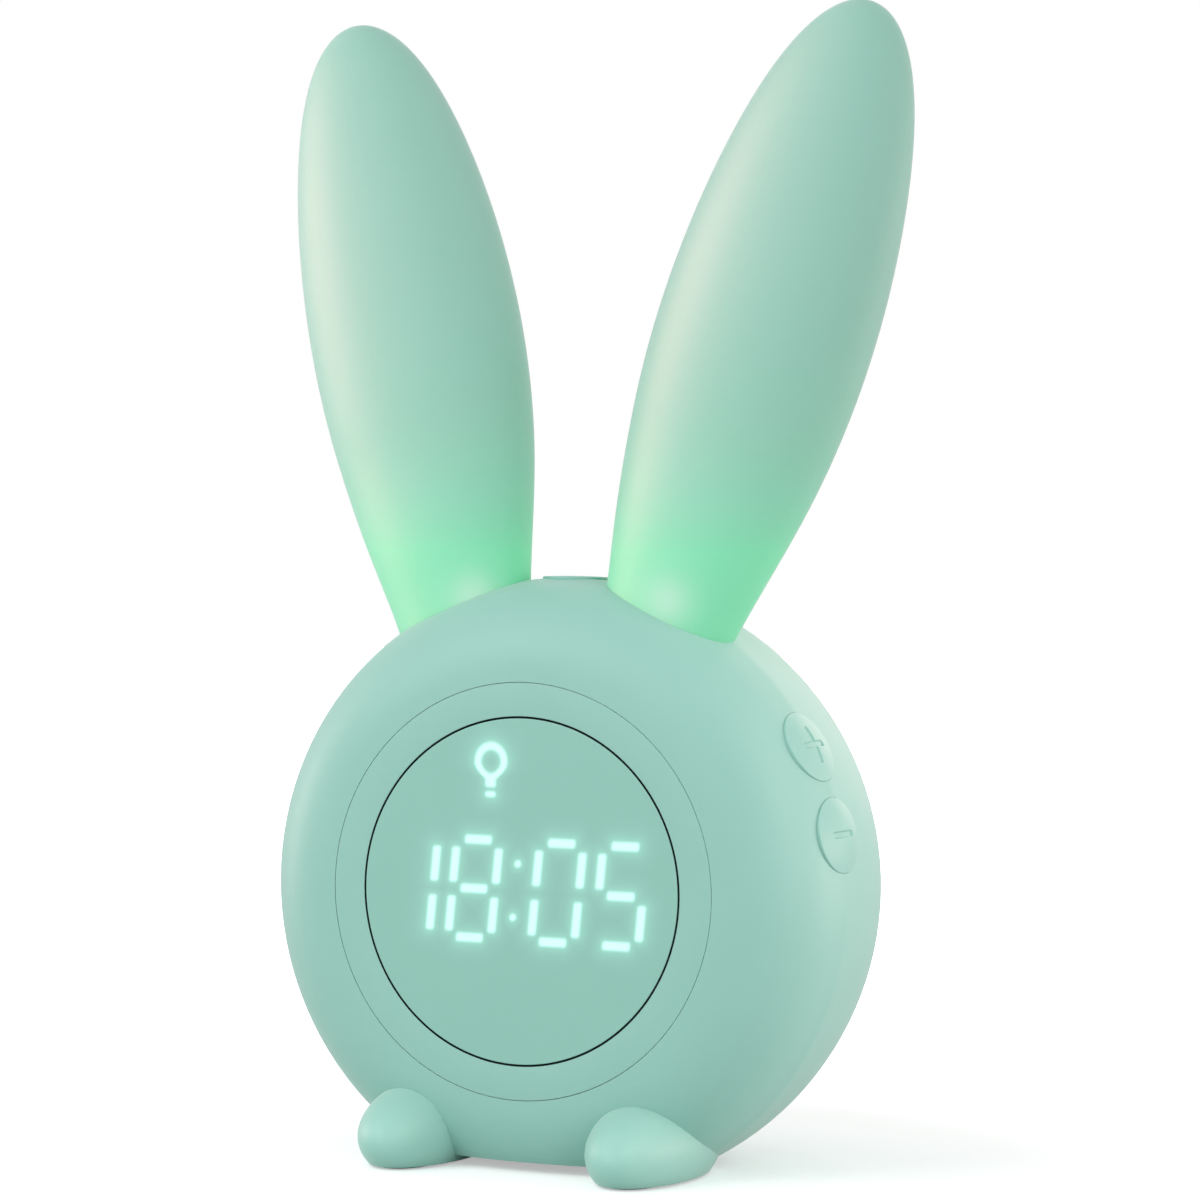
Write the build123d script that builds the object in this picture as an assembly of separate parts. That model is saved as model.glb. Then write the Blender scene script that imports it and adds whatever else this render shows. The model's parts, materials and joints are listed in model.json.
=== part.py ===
from build123d import *
import os
from math import atan2, cos, degrees, pi, radians, sin, sqrt

# Kids' alarm clock with a night light in two soft ears.
# Millimetres, +Z up, the clock faces -Y and is symmetric about X = 0 apart from its controls.
# The origin is on the surface that it stands on, under the body's widest circle.

# ---- body: a surface of revolution about a line along Y ----
axis_height = 45.9
body_radius = 51.0
face_depth = 20.0
face_flat_radius = 34.0
front_power = 2.4
back_depth = 44.0
back_power = 2.35
wall = 2.2
base_gap = 1.7
parting_y = 25.0
parting_gap = 0.15
join = 0.2

# ---- feet, each held by a peg through the body's wall ----
foot_x = 20.5
foot_y = -10.4
foot_z = 5.0
foot_half_width = 8.7
foot_half_length = 19.1
foot_half_height = 8.5
foot_gap = 0.4
peg_height = 8.0
peg_radius = 2.0
peg_end = -12.0
peg_clearance = 0.03
peg_boss = 1.5

# ---- anti-slip pads ----
foot_pad_half_width = 4.2
foot_pad_half_length = 6.0
foot_pad_y = -18.5
base_pad_half_width = 13.0
base_pad_half_length = 10.0
base_pad_y = 8.0
pad_sunk = 0.6
pad_clearance = 0.05

# ---- face: ring, gasket, lens and light block ----
ring_outer_radius = 33.78
ring_seam = 0.12
lens_radius = 28.05
gasket_width = 0.3
lens_thickness = 1.6
gasket_foot = 0.5
gasket_set_back = 0.05
ring_flange = 0.5
ledge_thickness = 2.0
ledge_inner_radius = 30.5
block_radius = 26.6
block_clearance = 0.3
block_set_back = 0.05
block_depth = 5.0
guide_depth = 1.5

# ---- digits ----
digit_height = 16.0
digit_width = 7.75
digit_slant = 4.8
digit_pitch = 11.25
digit_gap = 15.0
display_x = -0.65
display_z = 0.1
segment_width = 1.45
segment_gap = 0.45
segment_end = 0.7
colon_rise = 4.35
guide_clearance = 0.05
bulb_x = -5.45
bulb_z = 21.1
bulb_radius = 2.7
bulb_line = 0.8
bulb_neck = 3.7
bulb_base = 5.2
bulb_neck_half = 1.4
bulb_base_half = 1.1
digits_shown = ("1", "8", "0", "5")
digit_segments = {"0": "abcdef", "1": "bc", "5": "acdfg", "8": "abcdefg"}

# ---- display board ----
board_thickness = 1.6
display_board_radius = 30.1
tab_radius = 3.0
tab_centre_radius = 33.0
tab_reach = 4.0
tab_angles = (15.0, 165.0, 215.0, 325.0)
post_radius = 2.5
led_length = 1.6
led_width = 0.8
led_height = 0.7

# ---- ears, in a frame along each ear ----
ear_base = (17.3, -5.0, 85.0)
ear_tip = (47.8, 6.5, 191.7)
ear_neck_half_width = 11.3
ear_neck_rise = 5.0
ear_stations = (0.15, 0.3, 0.5, 0.7, 0.85, 0.95)
ear_half_widths = (14.4, 17.5, 19.0, 17.35, 13.6, 8.5)
ear_flatness = 0.6
ear_wall = 1.8
ear_flange_reach = 2.0
ear_flange_thickness = 2.0
ear_flange_top = 20.0
ear_root_depth = 12.0
ear_seam = 0.12
clamp_reach = 3.4
clamp_thickness = 2.0
clamp_inner_limit = 6.3
cup_wall = 1.2
cup_depth = 10.0
cup_rise = 4.0
cup_clearance = 0.15
ear_board_thickness = 1.0
ear_board_clearance = 0.1
ear_led_size = 2.8
ear_led_spacing = 4.5

# ---- buttons ----
button_angles = {"plus": 29.0, "minus": 12.0, "mode": 151.0, "alarm": 168.0, "top": 90.0}
button_y = {"plus": -5.0, "minus": -5.0, "mode": 0.0, "alarm": 0.0, "top": 0.0}
side_button_radius = 6.0
side_button_rim = -0.25
side_button_dome = 1.1
top_button_radius = 5.5
top_button_rim = 0.15
top_button_dome = 0.15
button_clearance = 0.2
button_flange_top = -3.6
button_flange_thickness = 1.1
button_flange_reach = 0.75
button_travel = 0.8
stem_radius = 1.6
stem_end = -6.2
mark_depth = 0.3
mark_width = 1.0
mark_half = 3.2
bell_radius = 2.2
bell_rim = 0.9
plunger_radius = 1.7
plunger_length = 2.8
plunger_clearance = 0.2
switch_top = -7.4
switch_size = 6.0
switch_height = 3.5
bracket_thickness = 2.0
bracket_half_width = 5.0
bracket_half_length = 9.4
bracket_leg = 2.0

# ---- inside ----
board_post_places = ((31.5, 34.5), (30.0, 60.5))
chip_places = {
    "processor": (-12.0, 52.0, 5.0, 5.0, 1.2),
    "clock": (6.0, 55.0, 3.5, 2.5, 1.0),
    "flash": (16.0, 54.0, 2.5, 2.5, 1.0),
    "charger": (-18.0, 38.0, 2.5, 2.0, 1.0),
    "left capacitor": (-4.0, 40.0, 3.0, 3.0, 2.4),
    "right capacitor": (8.0, 40.0, 3.0, 3.0, 2.4),
}
connector_places = {
    "display": (0.0, 57.0),
    "battery": (-22.0, 36.0),
    "left": (-20.0, 58.5),
    "right": (20.0, 58.5),
}
connector_half_width = 3.0
connector_half_height = 1.8
connector_depth = 3.0
lead_radius = 0.8
lead_bend = 1.8
lead_wide_bend = 3.0
lead_hole_clearance = 0.3
main_board_y = 10.0
main_board_half_width = 34.5
main_board_low = 31.5
main_board_high = 64.0
battery_radius = 9.2
battery_length = 65.0
battery_y = 4.0
battery_z = 21.0
nose_radius = 3.0
nose_length = 2.0
cradle_half_length = 20.0
cradle_half_depth = 8.0
cradle_floor = 2.0
cradle_clearance = 0.05
saddle_x = 15.0
saddle_width = 7.0
saddle_height = 11.0
speaker_z = 47.0
speaker_radius = 18.0
speaker_front_y = 37.0
speaker_rim = 2.0
basket_depth = 7.0
basket_wall = 1.0
basket_mouth = 15.6
cone_edge = 14.8
cone_middle = 5.0
cone_depth = 3.6
cone_set_back = 0.6
cone_thickness = 0.5
magnet_radius = 9.5
magnet_depth = 6.0
seat_reach = 1.5
seat_lip = 2.0
grille_pitch = 3.6
grille_hole = 1.0
grille_rings = 4

# ---- rear cover ----
cover_post_radius = 3.5
cover_post_circle = 38.0
cover_post_angles = (45.0, 135.0, 225.0, 315.0)
cover_post_start = 14.5
cover_post_gap = 0.3
rib_length = 11.2
rib_half_thickness = 1.0
rib_end_gap = 0.5
lip_radius = 41.6
lip_width = 1.5
lip_length = 3.5
lip_root = 2.5
screw_radius = 1.2
screw_head_radius = 2.2
screw_head_height = 1.5
screw_recess_radius = 0.7
screw_recess_depth = 0.8
thread_clearance = 0.04
board_hole_clearance = 0.1
cover_hole_clearance = 0.2
head_clearance = 0.3
display_screw_length = 4.4
board_screw_length = 7.0
cover_screw_length = 9.0
hole_spare = 0.5
head_seat_y = 28.0
port_z = 18.6
port_half_width = 7.0
port_half_height = 4.2
port_corner = 3.7
port_floor_y = 36.2
port_block = 2.0
socket_width = 8.94
socket_height = 3.26
socket_length = 7.3
socket_wall = 0.3
socket_back_wall = 1.0
socket_set_back = 0.2
socket_clearance = 0.3
tongue_half_width = 3.3
tongue_half_height = 0.35
tongue_set_back = 1.2
usb_board_half_width = 8.5
usb_board_start = 26.0
rail_x = 6.5
rail_width = 2.0

body_frame = Plane(origin=(0, 0, axis_height), x_dir=(1, 0, 0), z_dir=(0, 1, 0))
big = 400.0


def save(name, shape):
    export_step(shape, "parts/" + name + ".step")


def superellipse(half_r, half_y, power, turns):
    # points of a quarter superellipse, from its end on the y side to its end on the r side
    steps = [turn / turns * pi / 2 for turn in range(turns + 1)]
    return [(half_r * sin(t) ** (2 / power), half_y * cos(t) ** (2 / power)) for t in steps]


def body_of_revolution(inset):
    # flat face, rounded edge, widest circle at y = 0, domed back, all moved in by inset
    edge = body_radius - inset
    face = -face_depth + inset
    front = superellipse(edge - face_flat_radius, face_depth - inset, front_power, 7)
    back = superellipse(edge, back_depth - inset, back_power, 7)
    front_points = [(face_flat_radius + r, 0, -y) for r, y in front]
    back_points = [(r, 0, y) for r, y in reversed(back)]
    curve_front = Spline(*front_points, tangents=[(1, 0, 0), (0, 0, 1)])
    curve_back = Spline(*back_points, tangents=[(0, 0, 1), (-1, 0, 0)])
    flat = Line((0, 0, face), (face_flat_radius, 0, face))
    axis_line = Line((0, 0, back_depth - inset), (0, 0, face))
    profile = make_face([flat, curve_front, curve_back, axis_line])
    return body_frame * revolve(profile, Axis.Z, 360)


def disc(radius, start_y, end_y, x=0.0, z=0.0):
    # a cylinder along Y, placed from the body's axis
    place = Pos(x, (start_y + end_y) / 2, axis_height + z) * Rot(X=90)
    return place * Cylinder(radius, end_y - start_y)


def tube(outer, inner, start_y, end_y):
    return disc(outer, start_y, end_y) - disc(inner, start_y - 1, end_y + 1)


def block(x0, x1, y0, y1, z0, z1):
    middle = Pos((x0 + x1) / 2, (y0 + y1) / 2, (z0 + z1) / 2)
    return middle * Box(x1 - x0, y1 - y0, z1 - z0)


def on_circle(radius, angle):
    return radius * cos(radians(angle)), radius * sin(radians(angle))


def screw(x, z, seat_y, length):
    # a pan-head screw along Y, entered from the back
    head_top = seat_y + screw_head_height
    head = disc(screw_head_radius, seat_y, head_top, x, z)
    slot = disc(screw_recess_radius, head_top - screw_recess_depth, head_top + 1, x, z)
    shank = disc(screw_radius, seat_y - length, seat_y, x, z)
    return head - slot + shank


outer_body = body_of_revolution(0)
cavity_body = body_of_revolution(wall)
lens_back = -face_depth + lens_thickness
gasket_back = lens_back + gasket_foot
ring_back = gasket_back + ring_flange
ledge_back = ring_back + ledge_thickness
block_front = lens_back + block_set_back
board_front = block_front + block_depth
board_back = board_front + board_thickness
cover_screw_places = [on_circle(cover_post_circle, angle) for angle in cover_post_angles]
tab_places = [on_circle(tab_centre_radius, angle) for angle in tab_angles]
board_screw_places = [
    (side * x, z - axis_height) for x, z in board_post_places for side in (-1, 1)
]


# ---- ears ----
def ear_frame(side):
    base = Vector(side * ear_base[0], ear_base[1], ear_base[2])
    tip = Vector(side * ear_tip[0], ear_tip[1], ear_tip[2])
    along = (tip - base).normalized()
    across = (Vector(1, 0, 0) - along * along.X).normalized()
    return Plane(origin=base, x_dir=across, z_dir=along)


ear_length = (Vector(*ear_tip) - Vector(*ear_base)).length


def leaf(inset, flatness):
    # a leaf of revolution about the ear's axis, squeezed to an oval section
    neck = ear_neck_half_width - inset
    points = [(neck, 0, ear_neck_rise)]
    for share, half in zip(ear_stations, ear_half_widths):
        points.append((half - inset, 0, share * ear_length))
    points.append((0, 0, ear_length - inset))
    edge = Spline(*points, tangents=[(0.15, 0, 1), (-1, 0, 0)])
    side = Line((neck, 0, -ear_root_depth), (neck, 0, ear_neck_rise))
    bottom = Line((0, 0, -ear_root_depth), (neck, 0, -ear_root_depth))
    middle = Line((0, 0, ear_length - inset), (0, 0, -ear_root_depth))
    profile = make_face([bottom, side, edge, middle])
    return scale(revolve(profile, Axis.Z, 360), by=(1, flatness, 1))


def oval_prism(half_width, half_thickness, start, end):
    return Pos(0, 0, start) * extrude(Ellipse(half_width, half_thickness), end - start)


inner_flatness = (max(ear_half_widths) * ear_flatness - ear_wall) / (max(ear_half_widths) - ear_wall)
ear_hole_leaf = leaf(-ear_seam, ear_flatness)
neck_half_thickness = ear_neck_half_width * ear_flatness
cup_half_width = ear_neck_half_width - ear_wall - cup_clearance
cup_half_thickness = (ear_neck_half_width - ear_wall) * inner_flatness - cup_clearance
flange_bottom_body = body_of_revolution(wall + ear_flange_thickness)


def make_left_ear():
    frame = ear_frame(-1)
    leaf_outside = frame * leaf(0, ear_flatness) - flange_bottom_body
    reach = frame * oval_prism(
        ear_neck_half_width + ear_flange_reach,
        neck_half_thickness + ear_flange_reach,
        -ear_root_depth,
        ear_flange_top,
    )
    flange = reach & (cavity_body - flange_bottom_body)
    hollow = frame * leaf(ear_wall, inner_flatness)
    return leaf_outside + flange - hollow


def make_left_ear_clamp():
    frame = ear_frame(-1)
    ring = frame * oval_prism(
        ear_neck_half_width + clamp_reach,
        neck_half_thickness + clamp_reach,
        -ear_root_depth,
        ear_flange_top,
    )
    clamp_bottom_body = body_of_revolution(wall + ear_flange_thickness + clamp_thickness)
    keep = block(-big, -clamp_inner_limit, ledge_back + 0.2, big, 0, big)
    ring = ring & (flange_bottom_body - clamp_bottom_body) & keep
    cup = frame * oval_prism(cup_half_width, cup_half_thickness, -cup_depth, cup_rise)
    floor = -cup_depth + cup_wall
    hollow = oval_prism(cup_half_width - cup_wall, cup_half_thickness - cup_wall, floor, cup_rise + 1)
    hole = Circle(lead_radius + lead_hole_clearance)
    lead_hole = Pos(0, 0, -cup_depth - 1) * extrude(hole, cup_wall + 2)
    return ring + cup - frame * hollow - frame * lead_hole


def on_side(left_shape, side):
    if side < 0:
        return left_shape
    return mirror(left_shape, Plane.YZ)


def make_ear_board(side):
    floor = -cup_depth + cup_wall
    inset = cup_wall + ear_board_clearance
    return ear_frame(side) * oval_prism(
        cup_half_width - inset, cup_half_thickness - inset, floor, floor + ear_board_thickness
    )


def make_ear_leds(side):
    floor = -cup_depth + cup_wall + ear_board_thickness
    lamps = []
    for place in (-1, 0, 1):
        lamp = Pos(place * ear_led_spacing, 0, floor + led_height / 2)
        lamps.append(ear_frame(side) * lamp * Box(ear_led_size, ear_led_size, led_height))
    return Compound(children=lamps)


# ---- buttons ----
def of_button(name, side_value, top_value):
    return top_value if name == "top" else side_value


def front_radius(y):
    # radius of the body's outside at y, in front of its widest circle
    share = abs(y) / face_depth
    rounded = (1 - share**front_power) ** (1 / front_power)
    return face_flat_radius + (body_radius - face_flat_radius) * rounded


def button_frame(name):
    # on the body's surface: x round the body, z straight out of the surface
    angle = button_angles[name]
    y = button_y[name]
    lean = atan2(front_radius(y - 0.5) - front_radius(y + 0.5), 1.0)
    away = Vector(cos(radians(angle)), 0, sin(radians(angle)))
    out = away * cos(lean) + Vector(0, sin(lean), 0)
    origin = Vector(0, y, axis_height) + away * front_radius(y)
    round_body = Vector(-sin(radians(angle)), 0, cos(radians(angle)))
    return Plane(origin=origin, x_dir=round_body, z_dir=out)


def button_radius(name):
    return of_button(name, side_button_radius, top_button_radius)


def stacked(radius, start, end):
    return Pos(0, 0, start) * extrude(Circle(radius), end - start)


def bar(half_long, half_short, top):
    # a bar for an engraved sign, long side along the body's circle
    return Pos(0, 0, top - mark_depth) * extrude(Rectangle(2 * half_long, 2 * half_short), 5)


def sign(name, top):
    # engraved signs: plus, minus, a clock face for the mode and a bell for the alarm
    half_line = mark_width / 2
    if name == "plus":
        return bar(mark_half, half_line, top) + bar(half_line, mark_half, top)
    if name == "minus":
        return bar(half_line, mark_half, top)
    if name == "mode":
        ring = Circle(mark_half) - Circle(mark_half - half_line)
        hand = Pos(-mark_half / 4, 0, 0) * bar(mark_half / 4, half_line / 2, top)
        return Pos(0, 0, top - mark_depth) * extrude(ring, 5) + hand
    # on this side the frame's x points down: the dome is towards -x and the rim line is under it
    lower_half = Pos(bell_radius, 0) * Rectangle(2 * bell_radius, 3 * bell_radius)
    dome = Pos(0, 0, top - mark_depth) * extrude(Circle(bell_radius) - lower_half, 5)
    return dome + Pos(bell_rim, 0, 0) * bar(half_line / 2, mark_half, top)


def make_button(name):
    radius = button_radius(name)
    dome = of_button(name, side_button_dome, top_button_dome)
    dome_radius = (radius**2 + dome**2) / (2 * dome)
    top = of_button(name, side_button_rim, top_button_rim) + dome
    # the ball's poles and seam lie sideways, clear of the signs cut into the cap
    ball = Pos(0, 0, top - dome_radius) * Rot(90, 0, 0) * Sphere(dome_radius)
    flange_low = button_flange_top - button_flange_thickness
    cap = stacked(radius, flange_low, top) & ball
    flange = stacked(radius + button_flange_reach, flange_low, button_flange_top)
    shape = cap + flange + stacked(stem_radius, stem_end, flange_low)
    if name != "top":
        shape = shape - sign(name, top)
    return button_frame(name) * shape


def make_plunger(name):
    return button_frame(name) * stacked(plunger_radius, stem_end - plunger_length, stem_end)


def make_switch(name):
    body = Pos(0, 0, switch_top - switch_height / 2) * Box(switch_size, switch_size, switch_height)
    depth = stem_end - plunger_length - button_travel - plunger_clearance
    bore = stacked(plunger_radius + plunger_clearance, depth, switch_top + 1)
    return button_frame(name) * (body - bore)


def make_bracket(name):
    # a small bridge along Y whose legs stand on the inside of the wall
    top = switch_top - switch_height
    width = 2 * bracket_half_width
    plate = Pos(0, 0, top - bracket_thickness / 2) * Box(
        width, 2 * bracket_half_length, bracket_thickness
    )
    shape = plate
    leg_height = bracket_thickness - top
    for end in (-1, 1):
        leg_y = end * (bracket_half_length - bracket_leg / 2)
        shape = shape + Pos(0, leg_y, top - bracket_thickness + leg_height / 2) * Box(
            width, bracket_leg, leg_height
        )
    return (button_frame(name) * shape) & cavity_body


# ---- display ----
def segment_places():
    # letter: centre across, centre up, length, True where upright
    half_width = digit_width / 2
    quarter = digit_height / 4
    upright = digit_height / 2 - segment_width - segment_gap
    flat = digit_width - segment_width - segment_gap
    return {
        "a": (0, 2 * quarter, flat, False),
        "b": (half_width, quarter, upright, True),
        "c": (half_width, -quarter, upright, True),
        "d": (0, -2 * quarter, flat, False),
        "e": (-half_width, -quarter, upright, True),
        "f": (-half_width, quarter, upright, True),
        "g": (0, 0, flat, False),
    }


def slanted(x, z):
    return x + z * sin(radians(digit_slant)) / cos(radians(digit_slant)), z


def segment_outline(centre_x, centre_z, length, upright, grow):
    # a bar with pointed ends, leaned over with the digit
    half_long = length / 2 + grow
    half_wide = segment_width / 2 + grow
    point = segment_end
    corners = [
        (-half_long, 0), (-half_long + point, half_wide), (half_long - point, half_wide),
        (half_long, 0), (half_long - point, -half_wide), (-half_long + point, -half_wide),
    ]
    if upright:
        corners = [(v, -u) for u, v in corners]
    return [slanted(centre_x + u, centre_z + v) for u, v in corners]


def digit_centres():
    inner = digit_gap / 2
    outer = inner + digit_pitch
    return [display_x + offset for offset in (-outer, -inner, inner, outer)]


def prism_y(points, start_y, end_y):
    # a prism along Y over an outline given as (x, height above the body's axis)
    corners = [(x, start_y, axis_height + z) for x, z in points]
    outline = make_face(Polyline(*corners, close=True))
    return extrude(outline, end_y - start_y, dir=(0, 1, 0))


def guide_shapes(lit, grow, start_y, end_y):
    shapes = []
    for centre, digit in zip(digit_centres(), digits_shown):
        for letter, (x, z, length, upright) in segment_places().items():
            if (letter in digit_segments[digit]) != lit:
                continue
            points = segment_outline(x, z, length, upright, grow)
            moved = [(centre + u, display_z + v) for u, v in points]
            shapes.append(prism_y(moved, start_y, end_y))
    if lit:
        shapes += other_lights(grow, start_y, end_y)
    return shapes


def other_lights(grow, start_y, end_y):
    # the colon's two dots and the bulb sign: a ring, a neck line and a base line
    half = segment_width / 2 + grow
    lights = []
    for rise in (-colon_rise, colon_rise):
        x, z = slanted(0, rise)
        lights.append(disc(half, start_y, end_y, display_x + x, display_z + z))
    glass = disc(bulb_radius + grow, start_y, end_y, bulb_x, bulb_z)
    hole = disc(bulb_radius - bulb_line - grow, start_y - 1, end_y + 1, bulb_x, bulb_z)
    lights.append(glass - hole)
    half_line = bulb_line / 2 + grow
    for drop, half_long in ((bulb_neck, bulb_neck_half), (bulb_base, bulb_base_half)):
        low = axis_height + bulb_z - drop - half_line
        reach = half_long + grow
        lights.append(
            block(bulb_x - reach, bulb_x + reach, start_y, end_y, low, low + 2 * half_line)
        )
    return lights


def make_segment_mask():
    shape = disc(block_radius, block_front, board_front)
    for lit in (True, False):
        for window in guide_shapes(lit, guide_clearance, block_front - 1, board_front + 1):
            shape = shape - window
    # a web behind the bulb sign holds the middle of its ring
    web_end = board_front - led_height
    return shape + disc(bulb_radius + 1, block_front + guide_depth, web_end, bulb_x, bulb_z)


def make_display_board():
    shape = disc(display_board_radius, board_front, board_back)
    for x, z in tab_places:
        shape = shape + disc(tab_radius, board_front, board_back, x, z)
        inward = block(-tab_radius, tab_radius, board_front, board_back, -tab_reach, 0.0)
        turn = degrees(atan2(z, x)) - 90
        shape = shape + Pos(x, 0, axis_height + z) * Rot(Y=-turn) * inward
    for x, z in tab_places:
        hole_radius = screw_radius + board_hole_clearance
        shape = shape - disc(hole_radius, board_front - 1, board_back + 1, x, z)
    return shape


def make_display_leds():
    # one chip behind every segment and a square one behind each of the colon's dots
    chips = []
    for centre in digit_centres():
        for x, z, length, upright in segment_places().values():
            lean_x, lean_z = slanted(x, z)
            size = (led_width, led_length) if upright else (led_length, led_width)
            chips.append((centre + lean_x, lean_z, *size))
    for rise in (-colon_rise, colon_rise):
        lean_x, lean_z = slanted(0, rise)
        chips.append((display_x + lean_x, lean_z, led_width, led_width))
    solids = []
    for x, z, across, high in chips:
        middle = axis_height + display_z + z
        solids.append(
            block(
                x - across / 2, x + across / 2, board_front - led_height, board_front,
                middle - high / 2, middle + high / 2,
            )
        )
    return Compound(children=solids)


# ---- housing ----
def below(height):
    return block(-big, big, -big, big, -big, height)


def foot_ball(side, inset):
    half_sizes = (foot_half_width - inset, foot_half_length - inset, foot_half_height - inset)
    return Pos(side * foot_x, foot_y, foot_z) * scale(Sphere(1), by=half_sizes)


def peg(side, radius, start_y):
    return disc(radius, start_y, peg_end, side * foot_x, peg_height - axis_height)


def make_foot(side):
    # a hollow half egg, open towards the body, with a boss and peg in the middle
    ball = foot_ball(side, 0)
    hollow = foot_ball(side, wall) - below(foot_gap + wall)
    boss = peg(side, peg_radius + peg_boss, -big / 2) & ball
    shape = (ball - hollow + boss) - (outer_body - below(base_gap)) - below(foot_gap)
    shape = shape + peg(side, peg_radius, -face_depth)
    return shape - foot_pad(side, pad_clearance)


def oval_pad(x, y, half_width, half_length, top):
    # from the surface that the clock stands on up to top
    return Pos(x, y, 0) * extrude(Ellipse(half_width, half_length), top)


def foot_pad(side, grow):
    half_width = foot_pad_half_width + grow
    half_length = foot_pad_half_length + grow
    return oval_pad(side * foot_x, foot_pad_y, half_width, half_length, foot_gap + pad_sunk)


def base_pad(grow):
    half_width = base_pad_half_width + grow
    half_length = base_pad_half_length + grow
    return oval_pad(0, base_pad_y, half_width, half_length, base_gap + pad_sunk)


def make_body_shell():
    shape = outer_body - below(base_gap)
    shape = shape - (cavity_body - below(base_gap + wall))
    shape = shape - block(-big, big, parting_y, big, -big, big)
    for side in (-1, 1):
        shape = shape - peg(side, peg_radius + peg_clearance, -face_depth)
    ledge_front = -face_depth + wall - join
    ledge = tube(ring_outer_radius + wall, ledge_inner_radius, ledge_front, ledge_back)
    shape = shape + ledge
    for x, z in tab_places:
        shape = shape + disc(post_radius, ledge_back - join, board_front, x, z)
    for x, z in board_screw_places:
        shape = shape + disc(post_radius, ledge_back - join, main_board_y, x, z)
    for x, z in cover_screw_places:
        post = disc(cover_post_radius, cover_post_start, parting_y - cover_post_gap, x, z)
        rib = block(
            0, rib_length, cover_post_start, parting_y - rib_end_gap,
            -rib_half_thickness, rib_half_thickness,
        )
        turn = degrees(atan2(z, x))
        post = post + Pos(x, 0, axis_height + z) * Rot(Y=-turn) * rib
        shape = shape + (post & body_of_revolution(wall / 2))
    for x, z in tab_places:
        hole_end = board_back - display_screw_length - hole_spare
        shape = shape - disc(screw_radius + thread_clearance, hole_end, board_front + 1, x, z)
    for x, z in board_screw_places:
        hole_end = main_board_y + board_thickness - board_screw_length - hole_spare
        shape = shape - disc(screw_radius + thread_clearance, hole_end, main_board_y + 1, x, z)
    for x, z in cover_screw_places:
        hole_end = head_seat_y - cover_screw_length - hole_spare
        shape = shape - disc(screw_radius + thread_clearance, hole_end, parting_y, x, z)
    shape = shape - disc(ring_outer_radius + ring_seam, -face_depth - 1, ring_back)
    shape = shape - disc(ledge_inner_radius, ring_back - 1, ledge_back + 1)
    for side in (-1, 1):
        shape = shape - ear_frame(side) * ear_hole_leaf
    for name in button_angles:
        hole = stacked(button_radius(name) + button_clearance, button_flange_top - 1, 5)
        shape = shape - button_frame(name) * hole
    return shape - base_pad(pad_clearance)


def make_rear_cover():
    shape = outer_body - cavity_body
    shape = shape & block(-big, big, parting_y + parting_gap, big, -big, big)
    lip_start = parting_y - lip_length
    shape = shape + tube(lip_radius, lip_radius - lip_width, lip_start, parting_y + lip_root)
    for x, z in cover_screw_places:
        shape = shape - disc(cover_post_radius + cover_post_gap, 0, parting_y + parting_gap, x, z)
        pillar = disc(cover_post_radius, parting_y, back_depth, x, z) & outer_body
        shape = shape + pillar
    seat = tube(speaker_radius + seat_reach, speaker_radius - seat_lip, speaker_front_y, back_depth)
    seat = Pos(0, 0, speaker_z - axis_height) * seat
    port = block(
        -port_half_width - port_block, port_half_width + port_block,
        port_floor_y - port_block, back_depth,
        port_z - port_half_height - port_block, port_z + port_half_height + port_block,
    )
    rail_top = port_z - socket_height / 2 - board_thickness
    for side in (-1, 1):
        centre = side * rail_x
        rail = block(
            centre - rail_width / 2, centre + rail_width / 2,
            usb_board_start, port_floor_y, 0, rail_top,
        )
        shape = shape + (rail & outer_body)
    shape = shape + (seat & outer_body) + (port & outer_body)
    for x, z in cover_screw_places:
        shape = shape - disc(screw_radius + cover_hole_clearance, parting_y - 5, back_depth, x, z)
        shape = shape - disc(screw_head_radius + head_clearance, head_seat_y, back_depth, x, z)
    outline = RectangleRounded(2 * port_half_width, 2 * port_half_height, port_corner)
    port_plane = Plane(origin=(0, port_floor_y, port_z), x_dir=(1, 0, 0), z_dir=(0, 1, 0))
    shape = shape - port_plane * extrude(outline, back_depth)
    socket_room = socket_prism(socket_clearance, port_floor_y - port_block - 4, port_floor_y + 1)
    shape = shape - socket_room
    for x, z in grille_places():
        shape = shape - disc(grille_hole, speaker_front_y, back_depth + 1, x, z)
    return shape


def grille_places():
    # rings of holes round one in the middle
    places = [(0, speaker_z - axis_height)]
    for ring in range(1, grille_rings):
        for step in range(6 * ring):
            x, z = on_circle(ring * grille_pitch, step * 60 / ring)
            places.append((x, z + speaker_z - axis_height))
    return places


def socket_prism(grow, start_y, end_y):
    outline = RectangleRounded(
        socket_width + 2 * grow, socket_height + 2 * grow, socket_height / 2 + grow - 0.01
    )
    place = Plane(origin=(0, start_y, port_z), x_dir=(1, 0, 0), z_dir=(0, 1, 0))
    return place * extrude(outline, end_y - start_y)


def make_usb_socket():
    mouth = port_floor_y - socket_set_back
    back = mouth - socket_length
    inner_back = back + socket_back_wall
    shape = socket_prism(0, back, mouth) - socket_prism(-socket_wall, inner_back, mouth + 1)
    tongue = block(
        -tongue_half_width, tongue_half_width, inner_back - join, mouth - tongue_set_back,
        port_z - tongue_half_height, port_z + tongue_half_height,
    )
    return shape + tongue


def make_usb_board():
    top = port_z - socket_height / 2
    return block(
        -usb_board_half_width, usb_board_half_width,
        usb_board_start, port_floor_y - port_block - socket_set_back,
        top - board_thickness, top,
    )


def make_main_board():
    shape = block(
        -main_board_half_width, main_board_half_width,
        main_board_y, main_board_y + board_thickness,
        main_board_low, main_board_high,
    )
    for x, z in board_screw_places:
        shape = shape - disc(screw_radius + board_hole_clearance, 0, back_depth, x, z)
    return shape


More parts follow.
